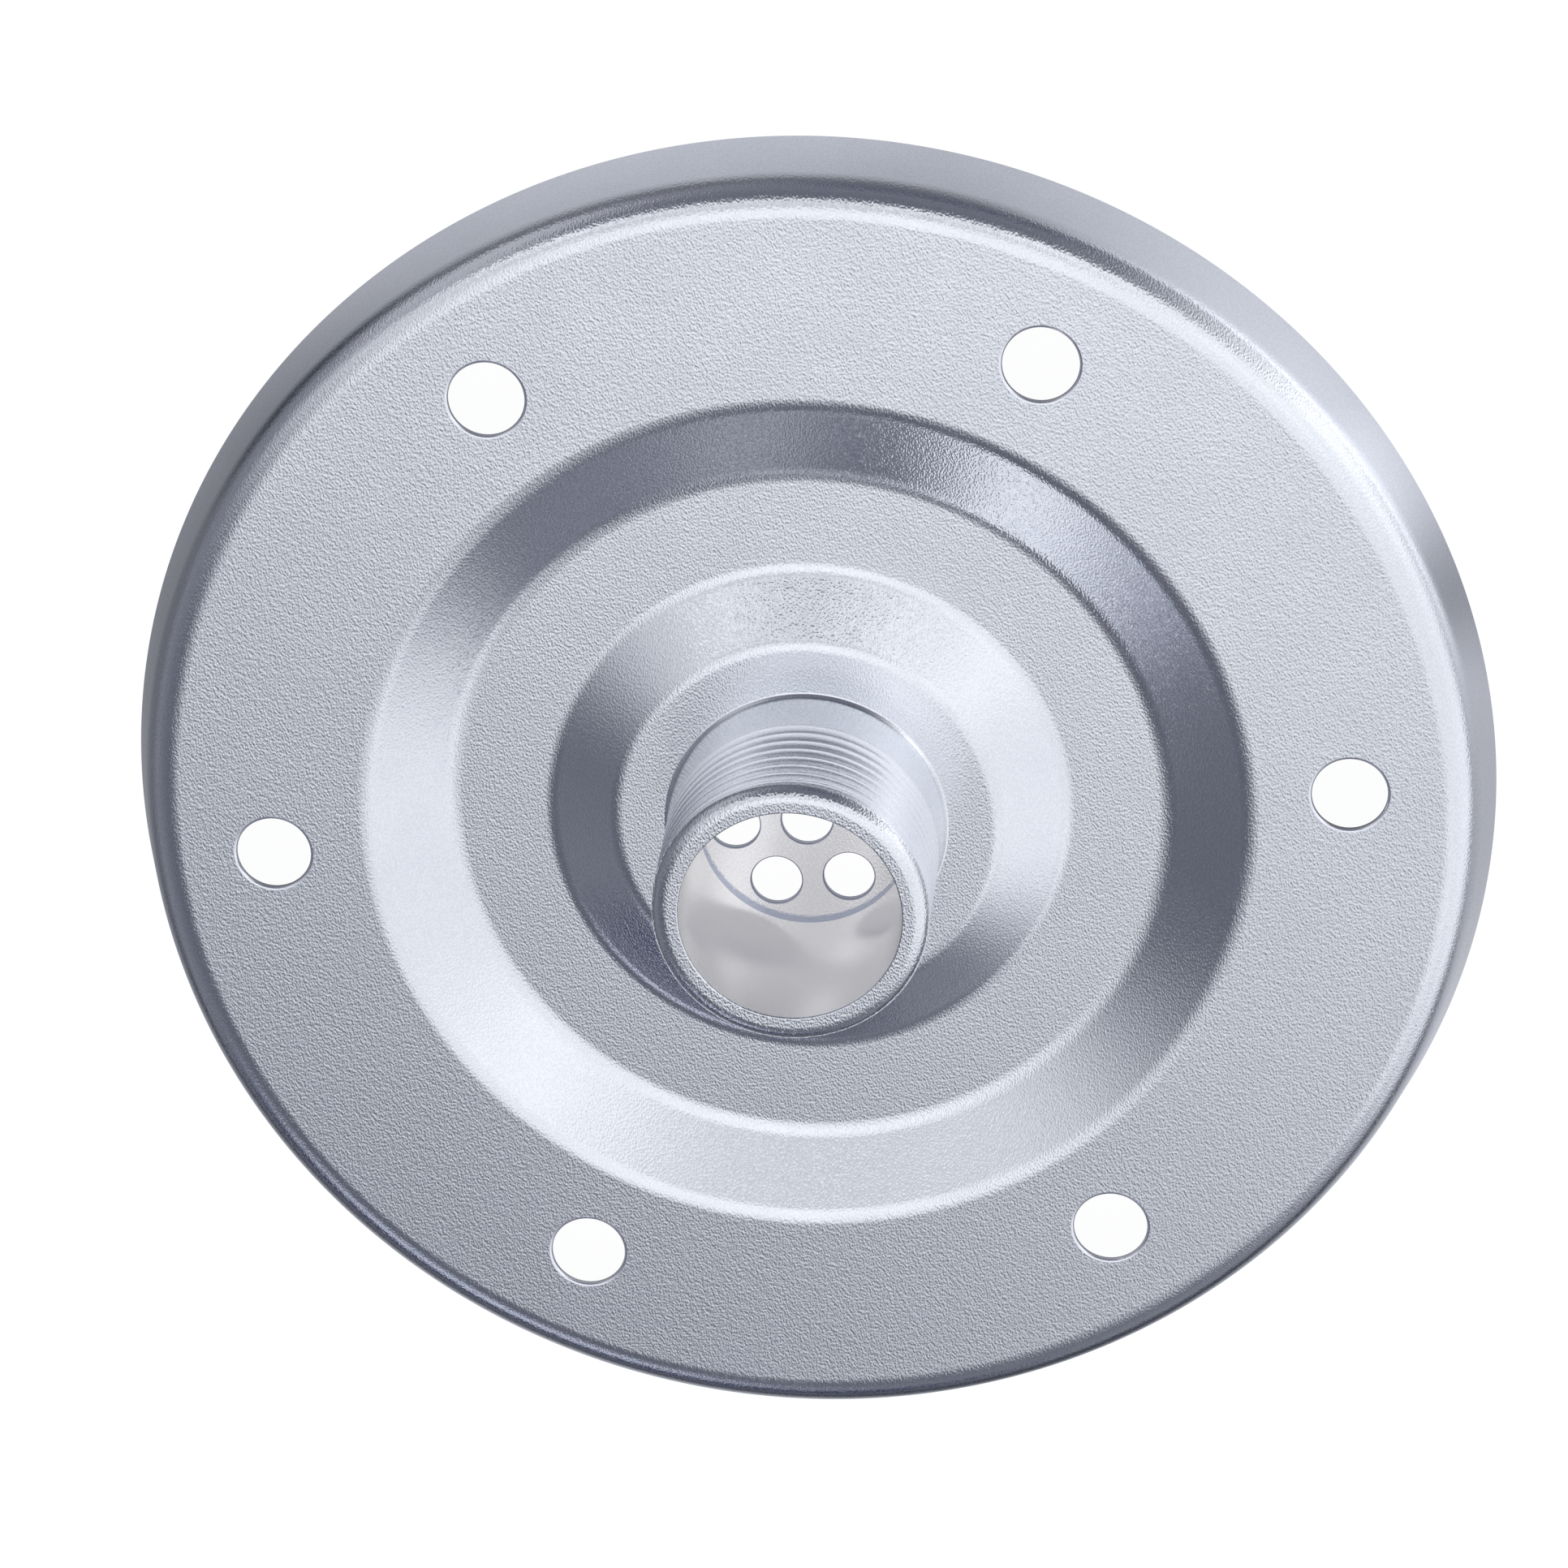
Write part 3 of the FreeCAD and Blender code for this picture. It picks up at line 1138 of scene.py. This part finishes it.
@dataclass(frozen=True)
class Studio:
    """White table, soft boxes round a dim room, and the camera."""

    horizon_colour: str = "#878893"
    zenith_colour: str = "#4A4D5B"
    boxes: tuple[SoftBox, ...] = (
        SoftBox("overhead", 6.9, 59.5, -26.6, 0.709, 0.239, 0.765, "#FDFDFF", 0.77),
        SoftBox("right wall", 51.9, 341.7, -34.1, 0.765, 0.583, 0.779, "#FDFDFF", 0.82),
        SoftBox("left back", 30.1, 145.1, -75.1, 0.148, 0.603, 0.955, "#FDFDFF", 0.94),
        SoftBox("right front", 26.9, 285.7, 113.0, 0.196, 0.431, 0.456, "#FDFDFF", 0.635),
        SoftBox("low left", 75.0, 128.1, -41.6, 0.266, 0.250, 0.220, "#FFFFFF", 0.30),
        SoftBox("low right", 86.3, 19.5, -97.4, 0.134, 0.562, 1.021, "#FFFFFF", 1.69),
        SoftBox("low front", 67.0, 242.4, 77.5, 0.208, 0.080, 0.314, "#E7ECFF", 0.815),
        SoftBox("back strip", 34.1, 92.1, -7.3, 0.080, 0.609, 0.220, "#FDFDFF", 0.87),
        # black flags: they take light away, so their strength is below zero
        SoftBox("front flag", 84.0, 246.0, 0.0, 0.14, 0.50, 0.25, "#FFFFFF", -0.19),
        SoftBox("back flag", 86.0, 72.0, 0.0, 0.16, 0.32, 0.25, "#FFFFFF", -0.12),
    )
    # a box gives no light to directions that run this nearly along its own plane, or behind it
    grazing: float = 0.02
    # the photograph's camera, as the six bolt holes in it give it; its turns are in degrees
    camera_place: tuple[float, float, float] = (76.3985, 290.1335, 673.1795)
    camera_turn: tuple[float, float, float] = (-23.652353, 4.464118, -5.376153)
    lens: float = 134.897
    sensor_width: float = 36.0
    nearest_seen: float = 10.0
    farthest_seen: float = 20000.0
    table_half_width: float = 4000.0

    def camera(self) -> None:
        """Set up the camera at the photograph's place, looking as it looked."""
        data = bpy.data.cameras.new("studio_camera")
        data.lens = self.lens
        data.sensor_width = self.sensor_width
        data.clip_start = self.nearest_seen * MM
        data.clip_end = self.farthest_seen * MM
        camera = bpy.data.objects.new("studio_camera", data)
        camera.location = [v * MM for v in self.camera_place]
        camera.rotation_euler = [math.radians(v) for v in self.camera_turn]
        bpy.context.scene.collection.objects.link(camera)
        bpy.context.scene.camera = camera

    def table(self) -> None:
        """Lay the flat white table under the object."""
        mesh = bpy.data.meshes.new("studio_table")
        corners = np.array([[-1, -1, 0], [1, -1, 0], [1, 1, 0], [-1, 1, 0]], float)
        corners *= self.table_half_width * MM
        mesh.from_pydata(corners.tolist(), [], [[0, 1, 2, 3]])
        table = bpy.data.objects.new("studio_table", mesh)
        mesh.materials.append(StudioFloor().material())
        bpy.context.scene.collection.objects.link(table)

    def box_light(
        self, tree: bpy.types.NodeTree, direction: bpy.types.NodeSocket, box: SoftBox
    ) -> bpy.types.NodeSocket:
        """Work out how much of a soft box's light comes from a direction.

        The direction is cut with a plane one unit away in front of the box. Each of the two distances
        from the box's middle fades from full to nothing over the feather, and their product is the
        light's share.

        Args:
            tree: the world's node tree.
            direction: the direction looked in.
            box: the soft box.

        Returns:
            The share, 1 in the box's middle and 0 outside and behind it.
        """
        centre, wide, high = box.axes()
        ahead = add_node(
            tree, "ShaderNodeVectorMath", operation="DOT_PRODUCT",
            values={1: centre}, links={0: direction},
        ).outputs["Value"]
        least = {1: self.grazing}
        safe = add_node(tree, "ShaderNodeMath", operation="MAXIMUM", values=least, links={0: ahead})
        result = add_node(
            tree, "ShaderNodeMath", operation="GREATER_THAN", values=least, links={0: ahead}
        )
        for axis, half in ((wide, box.half_width), (high, box.half_height)):
            aside = add_node(
                tree, "ShaderNodeVectorMath", operation="DOT_PRODUCT",
                values={1: axis}, links={0: direction},
            ).outputs["Value"]
            share = add_node(
                tree, "ShaderNodeMath", operation="DIVIDE", links={0: aside, 1: safe.outputs[0]}
            )
            share = add_node(tree, "ShaderNodeMath", operation="ABSOLUTE", links={0: share.outputs[0]})
            fade = add_node(
                tree, "ShaderNodeMapRange", interpolation_type="SMOOTHSTEP",
                values={"From Min": half - box.feather / 2, "From Max": half + box.feather / 2,
                        "To Min": 1.0, "To Max": 0.0},
                links={"Value": share.outputs[0]},
            )
            result = add_node(
                tree, "ShaderNodeMath", operation="MULTIPLY",
                links={0: result.outputs[0], 1: fade.outputs["Result"]},
            )
        return result.outputs[0]

    def world(self) -> None:
        """Paint the dim room with its soft boxes, and a white wall for the camera alone to see.

        The room is its walls' own tone, from the horizon's to the zenith's, plus each box's colour
        times its strength and its light's share.
        """
        world = bpy.data.worlds.new("soft_box_studio")
        world.use_nodes = True
        tree = world.node_tree
        tree.nodes.clear()
        direction = add_node(tree, "ShaderNodeTexCoord").outputs["Generated"]
        up = add_node(tree, "ShaderNodeSeparateXYZ", links={0: direction}).outputs["Z"]
        total = add_node(
            tree, "ShaderNodeMix", data_type="RGBA",
            values={6: linear(self.horizon_colour), 7: linear(self.zenith_colour)}, links={0: up},
        ).outputs[2]
        for box in self.boxes:
            total = add_node(
                tree, "ShaderNodeVectorMath", operation="MULTIPLY_ADD", label=box.name,
                values={0: [c * box.strength for c in linear(box.colour)[:3]]},
                links={1: self.box_light(tree, direction, box), 2: total},
            ).outputs[0]
        studio = add_node(
            tree, "ShaderNodeBackground", values={"Strength": 1.0}, links={"Color": total}
        )
        wall = add_node(tree, "ShaderNodeBackground", values={"Color": WHITE, "Strength": 1.0})
        both = add_node(
            tree, "ShaderNodeMixShader",
            links={0: plainly_seen(tree), 1: studio.outputs[0], 2: wall.outputs[0]},
        )
        add_node(tree, "ShaderNodeOutputWorld", links={"Surface": both.outputs[0]})
        bpy.context.scene.world = world

    def build(self) -> None:
        """Set up camera, table and light."""
        self.camera()
        self.table()
        self.world()
        bpy.context.scene.view_settings.view_transform = "Standard"


def main() -> None:
    """Build every sub-assembly in order and report the pieces."""
    logging.basicConfig(level=logging.INFO, format="%(message)s")
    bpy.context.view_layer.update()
    Studio().build()
    for part in (FlangePlate(), ThreadedNipple(), Strainer()):
        piece = part.build()
        LOG.info("%s is in place as %s", type(part).__name__, piece.name)


if __name__ == "__main__":
    main()
